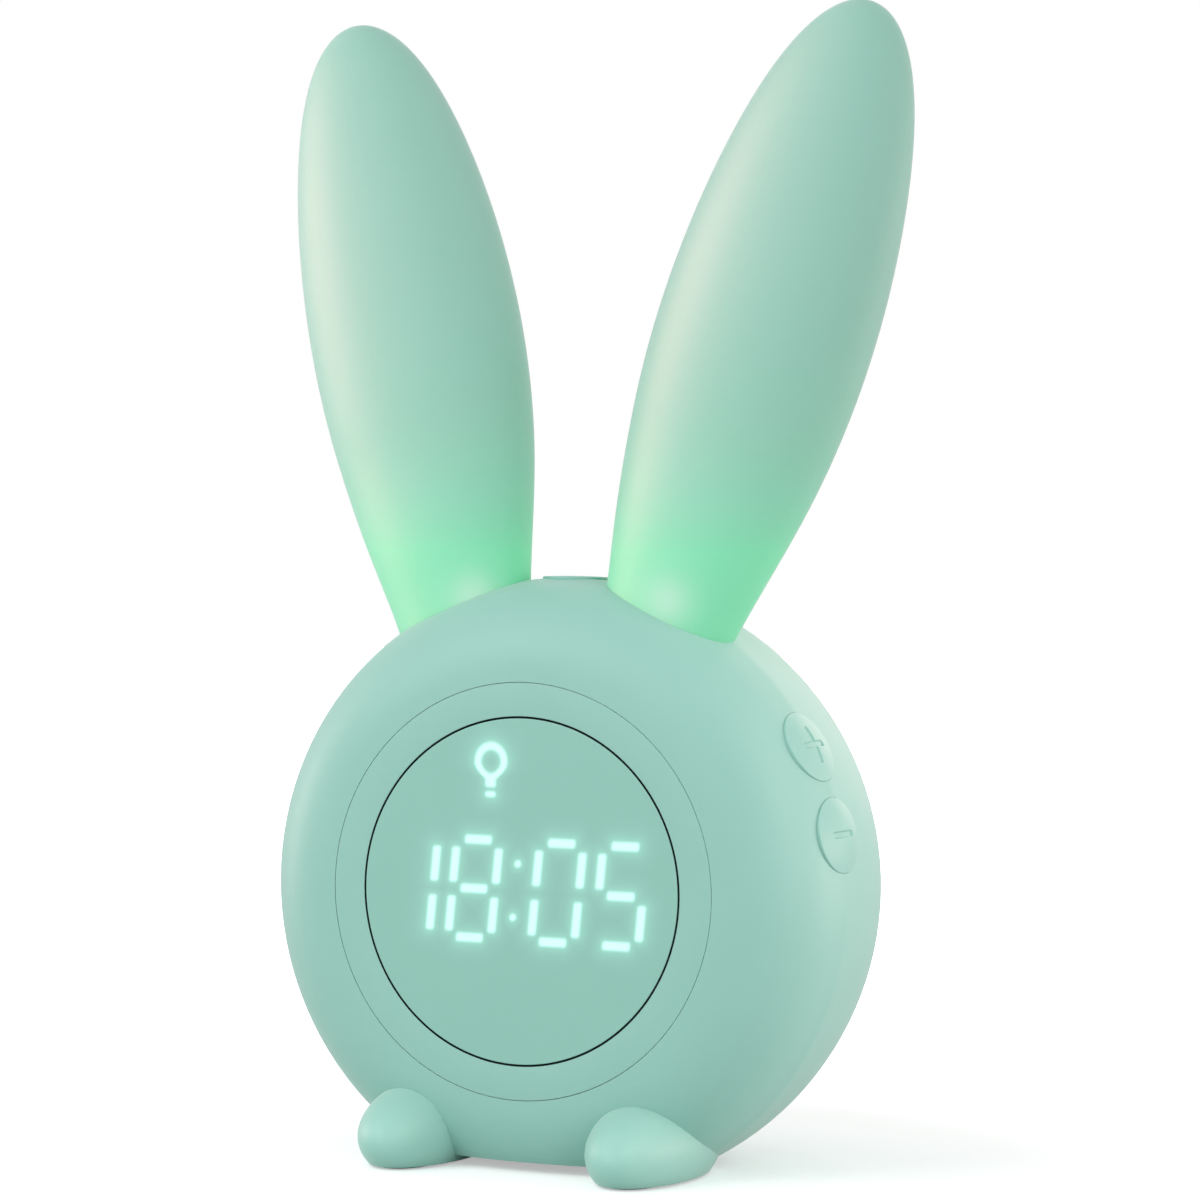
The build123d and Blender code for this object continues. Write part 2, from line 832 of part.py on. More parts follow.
def make_board_chips():
    # on the back of the board; each place is x, z, half width, half height, depth
    back = main_board_y + board_thickness
    chips = [
        block(x - half_x, x + half_x, back, back + depth, z - half_z, z + half_z)
        for x, z, half_x, half_z, depth in chip_places.values()
    ]
    return Compound(children=chips)


def make_board_connectors():
    # plug sockets on the front of the board
    front = main_board_y
    solids = []
    for x, z in connector_places.values():
        solids.append(
            block(
                x - connector_half_width, x + connector_half_width,
                front - connector_depth, front,
                z - connector_half_height, z + connector_half_height,
            )
        )
    return Compound(children=solids)


def make_battery():
    cell = Pos(0, battery_y, battery_z) * Rot(Y=90) * Cylinder(battery_radius, battery_length)
    nose = Pos(battery_length / 2, battery_y, battery_z) * Rot(Y=90) * Cylinder(nose_radius, nose_length)
    return cell + nose


def make_battery_cradle():
    floor = base_gap + wall
    front = battery_y - cradle_half_depth
    back = battery_y + cradle_half_depth
    shape = block(-cradle_half_length, cradle_half_length, front, back, floor, floor + cradle_floor)
    for side in (-1, 1):
        shape = shape + block(
            side * saddle_x - saddle_width / 2, side * saddle_x + saddle_width / 2,
            front, back, floor, floor + saddle_height,
        )
    room_radius = battery_radius + cradle_clearance
    room = Pos(0, battery_y, battery_z) * Rot(Y=90) * Cylinder(room_radius, big)
    return shape - room


def cone_along_y(wide, narrow, back_y, depth):
    # a cone at the speaker's height whose wide end is at back_y, narrowing towards the face
    return Pos(0, back_y - depth / 2, speaker_z) * Rot(X=90) * Cone(wide, narrow, depth)


def make_speaker_frame():
    lift = speaker_z - axis_height
    rim_front = speaker_front_y - speaker_rim
    rim = disc(speaker_radius, rim_front, speaker_front_y, 0, lift)
    basket = cone_along_y(speaker_radius - basket_wall, magnet_radius, rim_front, basket_depth)
    room = cone_along_y(
        speaker_radius - 2 * basket_wall, magnet_radius - 2 * basket_wall,
        rim_front + 1, basket_depth,
    )
    mouth = disc(basket_mouth, rim_front - 1, speaker_front_y + 1, 0, lift)
    return rim + basket - room - mouth


def make_speaker_cone():
    back = speaker_front_y - cone_set_back
    skin = cone_along_y(cone_edge, cone_middle, back, cone_depth)
    return skin - cone_along_y(cone_edge, cone_middle, back + cone_thickness, cone_depth)


def make_speaker_magnet():
    back = speaker_front_y - speaker_rim - basket_depth
    return disc(magnet_radius, back - magnet_depth, back, 0, speaker_z - axis_height)


# ---- face parts ----
def make_face_ring():
    rim = tube(ring_outer_radius, lens_radius + gasket_width, -face_depth, gasket_back)
    return rim + tube(ring_outer_radius, block_radius + block_clearance, gasket_back, ring_back)


def make_lens_gasket():
    outer = lens_radius + gasket_width
    lip = tube(outer, lens_radius, -face_depth + gasket_set_back, gasket_back)
    return lip + tube(outer, block_radius + block_clearance, lens_back, gasket_back)


# ---- leads: straight runs with tangent arcs ----
def lead(points, radii):
    path = FilletPolyline(*points, radius=radii)
    start = path @ 0
    section = Plane(origin=start, z_dir=path % 0) * Circle(lead_radius)
    return sweep(section, path=path)


def lead_routes():
    front = main_board_y - connector_depth
    spots = connector_places
    routes = {}
    x, z = spots["display"]
    routes["display_lead"] = (
        [(x, front, z), (x, front - 5, z), (x + 8, board_back + 5, z - 8), (x + 8, board_back, z - 8)],
        [lead_bend, lead_bend],
    )
    x, z = spots["battery"]
    end = -battery_length / 2
    routes["battery_lead"] = (
        [(x, front, z), (x, front - 4, z), (end - 4, front - 4, z + 4),
         (end - 5, battery_y, battery_z), (end, battery_y, battery_z)],
        [lead_bend, lead_wide_bend, lead_bend],
    )
    for name, side in (("left", -1), ("right", 1)):
        x, z = spots[name]
        floor = ear_frame(side) * Pos(0, 0, -cup_depth + cup_wall)
        low = ear_frame(side) * Pos(0, 0, -cup_depth - 4)
        top_point = floor.position
        low_point = low.position
        routes[name + "_ear_lead"] = (
            [(x, front, z), (x, front - 4, z), tuple(low_point), tuple(top_point)],
            [lead_bend, lead_bend],
        )
    back = main_board_y + board_thickness
    routes["speaker_lead"] = (
        [(20, back, 44), (20, back + 6, 44), (14, speaker_front_y - 10, speaker_z),
         (magnet_radius + 0.4, speaker_front_y - 12, speaker_z)],
        [lead_wide_bend, lead_bend],
    )
    return routes


def main():
    os.makedirs("parts", exist_ok=True)
    save("body_shell", make_body_shell())
    save("rear_cover", make_rear_cover())
    save("face_ring", make_face_ring())
    save("lens_gasket", make_lens_gasket())
    save("display_lens", disc(lens_radius, -face_depth, lens_back))
    save("segment_mask", make_segment_mask())
    guide_back = block_front + guide_depth
    save("lit_segments", Compound(children=guide_shapes(True, 0, block_front, guide_back)))
    save("unlit_segments", Compound(children=guide_shapes(False, 0, block_front, guide_back)))
    save("display_board", make_display_board())
    save("display_leds", make_display_leds())
    save("left_foot", make_foot(-1))
    save("right_foot", make_foot(1))
    left_ear = make_left_ear()
    left_clamp = make_left_ear_clamp()
    for name, side in (("left", -1), ("right", 1)):
        save(name + "_ear", on_side(left_ear, side))
        save(name + "_ear_clamp", on_side(left_clamp, side))
        save(name + "_ear_light_board", make_ear_board(side))
        save(name + "_ear_leds", make_ear_leds(side))
    for name in button_angles:
        save(name + "_button", make_button(name))
        save(name + "_switch_plunger", make_plunger(name))
        save(name + "_switch", make_switch(name))
        save(name + "_switch_bracket", make_bracket(name))
    save("main_board", make_main_board())
    save("board_chips", make_board_chips())
    save("board_connectors", make_board_connectors())
    save("battery_cell", make_battery())
    save("battery_cradle", make_battery_cradle())
    save("speaker_frame", make_speaker_frame())
    save("speaker_cone", make_speaker_cone())
    save("speaker_magnet", make_speaker_magnet())
    save("usb_board", make_usb_board())
    save("usb_socket", make_usb_socket())
    for name, (points, radii) in lead_routes().items():
        save(name, lead(points, radii))
    save("cover_screws", Compound(children=[
        screw(x, z, head_seat_y, cover_screw_length) for x, z in cover_screw_places
    ]))
    save("board_screws", Compound(children=[
        screw(x, z, main_board_y + board_thickness, board_screw_length)
        for x, z in board_screw_places
    ]))
    save("display_screws", Compound(children=[
        screw(x, z, board_back, display_screw_length) for x, z in tab_places
    ]))
    save("foot_pads", Compound(children=[foot_pad(side, 0) for side in (-1, 1)]))
    save("base_pad", base_pad(0))


main()
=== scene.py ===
import json
import math

import bpy
import numpy as np
from mathutils import Matrix, Vector


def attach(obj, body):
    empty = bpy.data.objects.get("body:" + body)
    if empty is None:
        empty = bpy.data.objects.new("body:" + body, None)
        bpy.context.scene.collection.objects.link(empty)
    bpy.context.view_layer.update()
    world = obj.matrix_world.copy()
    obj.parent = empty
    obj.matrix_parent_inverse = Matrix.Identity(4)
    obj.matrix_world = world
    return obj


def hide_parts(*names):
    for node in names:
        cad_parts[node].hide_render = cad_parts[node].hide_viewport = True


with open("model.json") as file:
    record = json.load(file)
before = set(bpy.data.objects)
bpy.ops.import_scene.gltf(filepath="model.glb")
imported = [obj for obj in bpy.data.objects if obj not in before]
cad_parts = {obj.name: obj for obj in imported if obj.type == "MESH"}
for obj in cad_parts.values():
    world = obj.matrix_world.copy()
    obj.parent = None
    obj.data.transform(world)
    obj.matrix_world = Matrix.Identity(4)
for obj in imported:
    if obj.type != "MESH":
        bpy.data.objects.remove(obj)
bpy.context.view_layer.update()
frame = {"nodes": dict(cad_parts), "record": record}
print("frame loaded")

mm = 0.001
smoothStep = {"interpolation_type": "SMOOTHSTEP"}
mixColours = {"data_type": "RGBA"}


# small helpers

def toLinear(hexColour, alpha=1.0):
    # sRGB hex to linear: c / 12.92 below 0.04045, ((c + 0.055) / 1.055) ^ 2.4 above
    parts = np.array([int(hexColour[i:i + 2], 16) / 255 for i in (1, 3, 5)])
    linear = np.where(parts <= 0.04045, parts / 12.92, ((parts + 0.055) / 1.055) ** 2.4)
    return (*linear.tolist(), alpha)


def addNode(tree, kind, links=(), settings=(), **values):
    # kind is the node's type; values are its sockets by name (spaces as _), or by number as s0, s1
    node = tree.nodes.new(kind)
    for name, value in dict(settings).items():
        setattr(node, name, value)
    for name, value in values.items():
        socket = node.inputs[int(name[1:])] if name[1:].isdigit() else node.inputs[name.replace("_", " ")]
        socket.default_value = value
    for target, source in dict(links).items():
        tree.links.new(source, node.inputs[target])
    return node


def newMaterial(name):
    material = bpy.data.materials.new(name)
    material.use_nodes = True
    tree = material.node_tree
    shader = tree.nodes["Principled BSDF"]
    return material, tree, shader


def meshFromGrid(name, points, closeU=False, poles=(), flip=False):
    # points is (rows, columns, 3) in millimetres; quads join neighbours, closeU joins the last column
    # to the first, and poles may hold "first" or "last" to close that row with one point
    rows, columns = points.shape[:2]
    vertices = points.reshape(-1, 3)
    spans = columns if closeU else columns - 1
    row, column = np.meshgrid(np.arange(rows - 1), np.arange(spans), indexing="ij")
    following = (column + 1) % columns
    quads = np.stack([row * columns + column, row * columns + following,
                      (row + 1) * columns + following, (row + 1) * columns + column], -1).reshape(-1, 4)
    if flip:
        quads = quads[:, ::-1]
    faces = quads.tolist()
    for pole in poles:
        ring = np.arange(columns) + (0 if pole == "first" else (rows - 1) * columns)
        vertices = np.vstack([vertices, vertices[ring].mean(0)])
        centre = len(vertices) - 1
        after = np.roll(ring, -1)
        forward = (pole == "first") != flip
        a, b = (after, ring) if forward else (ring, after)
        faces += np.stack([np.full(columns, centre), a, b], -1).tolist()
    mesh = bpy.data.meshes.new(name)
    mesh.from_pydata((vertices * mm).tolist(), [], faces)
    mesh.polygons.foreach_set("use_smooth", np.ones(len(mesh.polygons), bool))
    mesh.update()
    piece = bpy.data.objects.new(name, mesh)
    bpy.context.scene.collection.objects.link(piece)
    return piece


def finishPiece(piece, body, nodes, material):
    piece.data.materials.clear()
    piece.data.materials.append(material)
    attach(piece, body)
    if nodes:
        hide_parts(*nodes)
    return piece


def smoothCopy(node, name, sharpAngle=32):
    # the node's own triangles joined at their corners, smooth except over edges sharper than sharpAngle
    source = frame["nodes"][node].data
    corners = np.empty(len(source.vertices) * 3)
    source.vertices.foreach_get("co", corners)
    triangles = np.empty(len(source.loops), np.int64)
    source.loops.foreach_get("vertex_index", triangles)
    corners = corners.reshape(-1, 3)
    kept, where = np.unique(np.round(corners * 1e6).astype(np.int64), axis=0, return_inverse=True)
    faces = where.reshape(-1)[triangles].reshape(-1, 3)
    solid = (faces[:, 0] != faces[:, 1]) & (faces[:, 1] != faces[:, 2]) & (faces[:, 2] != faces[:, 0])
    mesh = bpy.data.meshes.new(name)
    mesh.from_pydata((kept * 1e-6).tolist(), [], faces[solid].tolist())
    mesh.polygons.foreach_set("use_smooth", np.ones(len(mesh.polygons), bool))
    mesh.set_sharp_from_angle(angle=math.radians(sharpAngle))
    mesh.update()
    piece = bpy.data.objects.new(name, mesh)
    bpy.context.scene.collection.objects.link(piece)
    return piece


# camera, lights, floor

cameraView = {"azimuth": 24.76, "pitch": 0.18, "roll": 1.03, "distance": 622.0, "aside": -3.91,
              "height": 95.2, "lens": 111.96}


def makeCamera(view):
    # the camera looks level at the clock's axis; its right and up directions are turned by the roll
    a, p, r = (math.radians(view[key]) for key in ("azimuth", "pitch", "roll"))
    forward = Vector((-math.sin(a) * math.cos(p), math.cos(a) * math.cos(p), -math.sin(p)))
    level = Vector((math.cos(a), math.sin(a), 0))
    upright = level.cross(forward)
    right = math.cos(r) * level + math.sin(r) * upright
    up = math.cos(r) * upright - math.sin(r) * level
    place = Vector((math.sin(a) * view["distance"], -math.cos(a) * view["distance"], view["height"]))
    place -= level * view["aside"]
    camera = bpy.data.objects.new("camera", bpy.data.cameras.new("camera"))
    camera.matrix_world = Matrix((right, up, -forward)).transposed().to_4x4()
    camera.location = place * mm
    camera.data.sensor_width = 36
    camera.data.lens = view["lens"]
    bpy.context.scene.collection.objects.link(camera)
    bpy.context.scene.camera = camera


# glossOnly lamps are strips that show only as highlights; a lamp with "only" lights just that group
lamps = {
    "keyLamp": {"place": (-420, -720, 560), "size": (620, 620), "power": 3.2, "tint": "#ffffff"},
    "fillLamp": {"place": (760, -420, 320), "size": (700, 700), "power": 1.6, "tint": "#ffffff",
                 "only": "housing"},
    "earFill": {"place": (760, -420, 320), "size": (700, 700), "power": 0.6, "tint": "#ffffff",
                "only": "ears"},
    "leftRimLamp": {"place": (-760, -60, 220), "size": (420, 420), "power": 1.0, "tint": "#ffece8"},
    "rightRimLamp": {"place": (720, 340, 20), "size": (420, 420), "power": 3.3, "tint": "#ffe6e2"},
    "rearStrip": {"place": (200, 880, 430), "size": (600, 600), "power": 2.0, "tint": "#ffdcd8",
                  "glossOnly": True, "only": "housing"},
    "shoulderLamp": {"place": (700, -100, 520), "size": (700, 700), "power": 2.0, "tint": "#ffe4e2",
                     "only": "housing"},
    "lowStrip": {"place": (-820, -80, 10), "size": (420, 420), "power": 2.2, "tint": "#ffe0dc",
                 "glossOnly": True, "only": "housing"},
    "earFront": {"place": (0, -780, 260), "size": (500, 500), "power": 0.75, "tint": "#fff4f2",
                 "only": "ears"},
    "earStrip": {"place": (-820, -300, 280), "size": (520, 480), "power": 15.0, "tint": "#ffb8ae",
                 "glossOnly": True, "only": "leftEar"},
    "rightEarStrip": {"place": (-800, -280, 460), "size": (520, 440), "power": 18.0, "tint": "#ffb8ae",
                      "glossOnly": True, "only": "rightEar"},
    "footLamp": {"place": (-60, -760, 120), "size": (300, 300), "power": 1.2, "tint": "#fff4f2",
                 "only": "feet"},
}
lampTarget = (0, 0, 80)
worldLight = {"ambient": 0.57}


def makeLamps():
    for name, lamp in lamps.items():
        light = bpy.data.lights.new(name, "AREA")
        light.shape = "ELLIPSE"
        light.size, light.size_y = (size * mm for size in lamp["size"])
        light.energy = lamp["power"]
        light.color = toLinear(lamp["tint"])[:3]
        thing = bpy.data.objects.new(name, light)
        thing.location = Vector(lamp["place"]) * mm
        towards = Vector(lampTarget) * mm - thing.location
        thing.rotation_euler = towards.to_track_quat("-Z", "Y").to_euler()
        thing.visible_diffuse = not lamp.get("glossOnly", False)
        bpy.context.scene.collection.objects.link(thing)


def lightOnly(word, pieces):
    # the lamps whose "only" is this word reach these pieces and nothing else
    group = bpy.data.collections.new(word + "LitAlone")
    for piece in pieces:
        group.objects.link(piece)
    for name, lamp in lamps.items():
        if lamp.get("only") == word:
            bpy.data.objects[name].light_linking.receiver_collection = group


def whiteToEyes(tree):
    # 1 where the camera, a reflection or a refraction looks, otherwise 0
    path = addNode(tree, "ShaderNodeLightPath")
    looks = {0: path.outputs["Is Camera Ray"], 1: path.outputs["Is Glossy Ray"]}
    seen = addNode(tree, "ShaderNodeMath", looks, {"operation": "MAXIMUM"})
    return addNode(tree, "ShaderNodeMath", {0: seen.outputs[0], 1: path.outputs["Is Transmission Ray"]},
                   {"operation": "MAXIMUM"}).outputs[0]


def makeWorld():
    world = bpy.data.worlds.new("studio")
    world.use_nodes = True
    bpy.context.scene.world = world
    tree = world.node_tree
    level = addNode(tree, "ShaderNodeMapRange", {"Value": whiteToEyes(tree)},
                    To_Min=worldLight["ambient"], To_Max=1.0)
    tree.nodes["Background"].inputs["Color"].default_value = (1, 1, 1, 1)
    tree.links.new(level.outputs[0], tree.nodes["Background"].inputs["Strength"])


floorLook = {"size": 9000, "albedo": 0.88, "ownLight": 0.42, "nearEdge": 70, "farEdge": 170}


def makeFloor():
    half = floorLook["size"] / 2
    mesh = bpy.data.meshes.new("floor")
    corners = np.array([(-half, -half, 0), (half, -half, 0), (half, half, 0), (-half, half, 0)])
    mesh.from_pydata((corners * mm).tolist(), [], [(0, 1, 2, 3)])
    floor = bpy.data.objects.new("floor", mesh)
    bpy.context.scene.collection.objects.link(floor)
    # paper lit well over white round the clock; farther out the camera sees plain white
    material, tree, shader = newMaterial("whitePaper")
    albedo = floorLook["albedo"]
    shader.inputs["Base Color"].default_value = (albedo, albedo, albedo, 1)
    shader.inputs["Roughness"].default_value = 0.9
    shader.inputs["Specular IOR Level"].default_value = 0.1
    shader.inputs["Emission Color"].default_value = (1, 1, 1, 1)
    place = addNode(tree, "ShaderNodeTexCoord").outputs["Object"]
    away = addNode(tree, "ShaderNodeVectorMath", {0: place}, {"operation": "LENGTH"})
    spread = addNode(tree, "ShaderNodeMapRange", {"Value": away.outputs["Value"]}, smoothStep,
                     From_Min=floorLook["nearEdge"] * mm, From_Max=floorLook["farEdge"] * mm,
                     To_Min=floorLook["ownLight"], To_Max=1.0)
    path = addNode(tree, "ShaderNodeLightPath")
    glow = addNode(tree, "ShaderNodeMath", {0: path.outputs["Is Camera Ray"], 1: spread.outputs[0]},
                   {"operation": "MULTIPLY"})
    tree.links.new(glow.outputs[0], shader.inputs["Emission Strength"])
    mesh.materials.append(material)


bpy.context.scene.view_settings.view_transform = "Standard"
makeCamera(cameraView)
makeLamps()
makeWorld()
makeFloor()
print("camera, lamps and floor")


# materials

def addBump(tree, shader, height, distance, strength=1.0, under=None):
    links = {"Height": height}
    if under:
        links["Normal"] = under
    bump = addNode(tree, "ShaderNodeBump", links, Strength=strength, Distance=distance)
    tree.links.new(bump.outputs["Normal"], shader.inputs["Normal"])
    return bump.outputs["Normal"]


mintScatter = (0.6, 1.0, 0.85)  # how far red, green and blue travel under the skin, against each other


def objectPlace(tree):
    return addNode(tree, "ShaderNodeTexCoord").outputs["Object"]


def variedColour(tree, place, low, high, spacing, detail=3.0):
    # two near shades mixed by a soft noise whose blotches are about spacing millimetres across
    noise = addNode(tree, "ShaderNodeTexNoise", {"Vector": place}, Scale=1 / (spacing * mm), Detail=detail)
    return addNode(tree, "ShaderNodeMix", {0: noise.outputs["Fac"]}, mixColours,
                   s6=toLinear(low), s7=toLinear(high)).outputs["Result"]


def mouldedPlastic(name, low, high, roughness, grain, grainDepth, sheen=0.0, blotch=14.0, subsurface=0.0):
    # moulded part: two close shades in soft blotches, and the fine spark-eroded grain of the mould;
    # it gives the eye an even colour whose highlights are broad and slightly broken
    material, tree, shader = newMaterial(name)
    place = objectPlace(tree)
    tree.links.new(variedColour(tree, place, low, high, blotch), shader.inputs["Base Color"])
    grainNoise = addNode(tree, "ShaderNodeTexNoise", {"Vector": place}, Scale=1 / (grain * mm), Detail=2.0)
    spread = addNode(tree, "ShaderNodeMapRange", {"Value": grainNoise.outputs["Fac"]},
                     To_Min=roughness - 0.05, To_Max=roughness + 0.05)
    tree.links.new(spread.outputs[0], shader.inputs["Roughness"])
    addBump(tree, shader, grainNoise.outputs["Fac"], grainDepth * mm)
    shader.inputs["IOR"].default_value = 1.5
    shader.inputs["Sheen Weight"].default_value = sheen
    shader.inputs["Sheen Roughness"].default_value = 0.4
    if subsurface:
        shader.inputs["Subsurface Weight"].default_value = subsurface
        shader.inputs["Subsurface Scale"].default_value = 2.5 * mm
        shader.inputs["Subsurface Radius"].default_value = mintScatter
    return material


mint = {"low": "#8ec3b6", "high": "#94c7bb"}
lensLook = {"low": "#8cc2b4", "high": "#91c6b8", "blotch": 22, "bloomTint": "#9fe9d6", "coreTint": "#cffdf8",
            "behindLight": "#5f7f78", "coreStart": 0.38, "coreFull": -0.42, "coreStrength": 0.74,
            "bloomReach": 1.1, "bloomStrength": 0.22}
# paintedRootGlowTone is a painted glow tint: the ear's base colour at the root, where the lamps behind the
# skin light it
earLook = {"low": "#93c4b5", "high": "#99c9bb", "paintedRootGlowTone": "#83c4ad", "glow": "#4bff8e", "core": "#eaffdf",
           "rootHeight": 101.0, "fade": 12.0, "strength": 0.22, "spot": (17.65, -11.0, 93.3),
           "spotShift": 3.95, "spotReach": 4.5, "spotStrength": 0.06}


def softTouchAbs():
    # ABS with a soft-touch paint: matt, a very fine pebble, and a pale bloom where it turns away
    return mouldedPlastic("softTouchAbs", mint["low"], mint["high"], 0.5, 0.35, 0.012,
                          sheen=0.3, subsurface=0.06)


def satinLensAcrylic():
    # acrylic sheet tinted mint, satin front: the lit segments and the bulb sign bloom through it;
    # the attribute lightEdge is the distance in millimetres to the nearest lit outline
    material, tree, shader = newMaterial("satinLensAcrylic")
    place = objectPlace(tree)
    ground = variedColour(tree, place, lensLook["low"], lensLook["high"], lensLook["blotch"])
    edge = addNode(tree, "ShaderNodeAttribute", (), {"attribute_name": "lightEdge"}).outputs["Fac"]
    core = addNode(tree, "ShaderNodeMapRange", {"Value": edge}, smoothStep,
                   From_Min=lensLook["coreStart"], From_Max=lensLook["coreFull"], To_Min=0.0, To_Max=1.0)
    bloom = addNode(tree, "ShaderNodeMath", {0: edge}, {"operation": "MULTIPLY"},
                    s1=-1 / lensLook["bloomReach"])
    bloom = addNode(tree, "ShaderNodeMath", {0: bloom.outputs[0]}, {"operation": "EXPONENT"})
    bloom = addNode(tree, "ShaderNodeMath", {0: bloom.outputs[0]}, {"operation": "MINIMUM"}, s1=1.0)
    bloomGlow = addNode(tree, "ShaderNodeMath", {0: bloom.outputs[0]}, {"operation": "MULTIPLY"},
                        s1=lensLook["bloomStrength"])
    coreGlow = addNode(tree, "ShaderNodeMath", {0: core.outputs[0]}, {"operation": "MULTIPLY"},
                       s1=lensLook["coreStrength"])
    total = addNode(tree, "ShaderNodeMath", {0: bloomGlow.outputs[0], 1: coreGlow.outputs[0]},
                    {"operation": "ADD"})
    tint = addNode(tree, "ShaderNodeMix", {0: core.outputs[0]}, mixColours,
                   s6=toLinear(lensLook["bloomTint"]), s7=toLinear(lensLook["coreTint"]))
    dimmed = addNode(tree, "ShaderNodeMix", {0: core.outputs[0], 6: ground}, mixColours,
                     s7=toLinear(lensLook["behindLight"]))
    tree.links.new(dimmed.outputs["Result"], shader.inputs["Base Color"])
    tree.links.new(tint.outputs["Result"], shader.inputs["Emission Color"])
    tree.links.new(total.outputs[0], shader.inputs["Emission Strength"])
    haze = addNode(tree, "ShaderNodeTexNoise", {"Vector": place}, Scale=1 / (0.4 * mm), Detail=2.0)
    addBump(tree, shader, haze.outputs["Fac"], 0.004 * mm)
    shader.inputs["Roughness"].default_value = 0.3
    shader.inputs["IOR"].default_value = 1.49
    return material


def hotSpot(tree, place):
    # 1 where the lamps stand right behind the skin, low in the middle of each ear, and falling off by
    # exp(-(distance / reach)^2); the ears share it by taking |x - shift|
    x, y, z = earLook["spot"]
    moved = addNode(tree, "ShaderNodeVectorMath", {0: place}, {"operation": "SUBTRACT"},
                    s1=(earLook["spotShift"] * mm, y * mm, z * mm))
    folded = addNode(tree, "ShaderNodeVectorMath", {0: moved.outputs[0]}, {"operation": "ABSOLUTE"})
    moved = addNode(tree, "ShaderNodeVectorMath", {0: folded.outputs[0]}, {"operation": "SUBTRACT"},
                    s1=(x * mm, 0, 0))
    away = addNode(tree, "ShaderNodeVectorMath", {0: moved.outputs[0]}, {"operation": "LENGTH"})
    scaled = addNode(tree, "ShaderNodeMath", {0: away.outputs["Value"]}, {"operation": "DIVIDE"},
                     s1=earLook["spotReach"] * mm)
    squared = addNode(tree, "ShaderNodeMath", {0: scaled.outputs[0], 1: scaled.outputs[0]},
                      {"operation": "MULTIPLY"})
    negative = addNode(tree, "ShaderNodeMath", {0: squared.outputs[0]}, {"operation": "MULTIPLY"}, s1=-1.0)
    return addNode(tree, "ShaderNodeMath", {0: negative.outputs[0]}, {"operation": "EXPONENT"}).outputs[0]


def earSilicone():
    # translucent matt silicone over the lamps: milky body, soft edge bloom, and a green glow that is
    # even at the root and above rootHeight fades along the ear by exp(-height / fade)
    material, tree, shader = newMaterial("earSilicone")
    place = objectPlace(tree)
    colour = variedColour(tree, place, earLook["low"], earLook["high"], 30)
    height = addNode(tree, "ShaderNodeSeparateXYZ", {0: place}).outputs["Z"]
    rootTop, fadeEnd = earLook["rootHeight"] * mm, (earLook["rootHeight"] + earLook["fade"]) * mm
    above = addNode(tree, "ShaderNodeMapRange", {"Value": height}, {"clamp": False},
                    From_Min=rootTop, From_Max=fadeEnd, To_Min=0.0, To_Max=-1.0)
    fade = addNode(tree, "ShaderNodeMath", {0: above.outputs[0]}, {"operation": "EXPONENT"})
    fade = addNode(tree, "ShaderNodeMath", {0: fade.outputs[0]}, {"operation": "MINIMUM"}, s1=1.0)
    power = addNode(tree, "ShaderNodeMath", {0: fade.outputs[0]}, {"operation": "MULTIPLY"},
                    s1=earLook["strength"])
    spot = hotSpot(tree, place)
    glow = addNode(tree, "ShaderNodeMix", {0: spot}, mixColours,
                   s6=toLinear(earLook["glow"]), s7=toLinear(earLook["core"]))
    power = addNode(tree, "ShaderNodeMath", {0: spot, 2: power.outputs[0]}, {"operation": "MULTIPLY_ADD"},
                    s1=earLook["spotStrength"])
    # painted glow tint: with the same fade as the glow, the base colour deepens to a saturated green towards
    # the root
    lit = addNode(tree, "ShaderNodeMix", {0: fade.outputs[0], 6: colour}, mixColours,
                  s7=toLinear(earLook["paintedRootGlowTone"]))
    tree.links.new(lit.outputs["Result"], shader.inputs["Base Color"])
    tree.links.new(glow.outputs["Result"], shader.inputs["Emission Color"])
    tree.links.new(power.outputs[0], shader.inputs["Emission Strength"])
    fineNoise = addNode(tree, "ShaderNodeTexNoise", {"Vector": place}, Scale=1 / (0.5 * mm), Detail=2.0)
    addBump(tree, shader, fineNoise.outputs["Fac"], 0.01 * mm)
    shader.inputs["Subsurface Weight"].default_value = 0.35
    shader.inputs["Subsurface Scale"].default_value = 6 * mm
    shader.inputs["Subsurface Radius"].default_value = mintScatter
    shader.inputs["Roughness"].default_value = 0.55
    shader.inputs["IOR"].default_value = 1.41
    shader.inputs["Sheen Weight"].default_value = 0.5
    shader.inputs["Sheen Roughness"].default_value = 0.35
    return material


def groundMetal(name, low, high, roughness, grain):
    # small plated or cast metal part: fine uneven grain in shade and gloss
    material, tree, shader = newMaterial(name)
    place = objectPlace(tree)
    noise = addNode(tree, "ShaderNodeTexNoise", {"Vector": place}, Scale=1 / (grain * mm), Detail=4.0)
    tree.links.new(variedColour(tree, place, low, high, grain * 4), shader.inputs["Base Color"])
    spread = addNode(tree, "ShaderNodeMapRange", {"Value": noise.outputs["Fac"]},
                     To_Min=roughness - 0.08, To_Max=roughness + 0.08)
    tree.links.new(spread.outputs[0], shader.inputs["Roughness"])
    addBump(tree, shader, noise.outputs["Fac"], 0.006 * mm)
    shader.inputs["Metallic"].default_value = 1.0
    return material


def circuitBoard():
    # glass-fibre board under green solder mask: copper lines show as paler tracks, trackSpacing apart
    trackSpacing = 1.2
    material, tree, shader = newMaterial("solderMaskBoard")
    place = objectPlace(tree)
    tracks = addNode(tree, "ShaderNodeTexWave", {"Vector": place}, {"bands_direction": "DIAGONAL"},
                     Scale=1 / (trackSpacing * mm) / 6.283, Distortion=3.0, Detail=1.0)
    masked = addNode(tree, "ShaderNodeMapRange", {"Value": tracks.outputs["Fac"]}, smoothStep,
                     From_Min=0.62, From_Max=0.7)
    mixed = addNode(tree, "ShaderNodeMix", {0: masked.outputs[0]}, mixColours,
                    s6=toLinear("#1d5a38"), s7=toLinear("#2f7d4e"))
    tree.links.new(mixed.outputs["Result"], shader.inputs["Base Color"])
    addBump(tree, shader, masked.outputs[0], 0.03 * mm)
    shader.inputs["Roughness"].default_value = 0.32
    return material


print("materials")


# ears

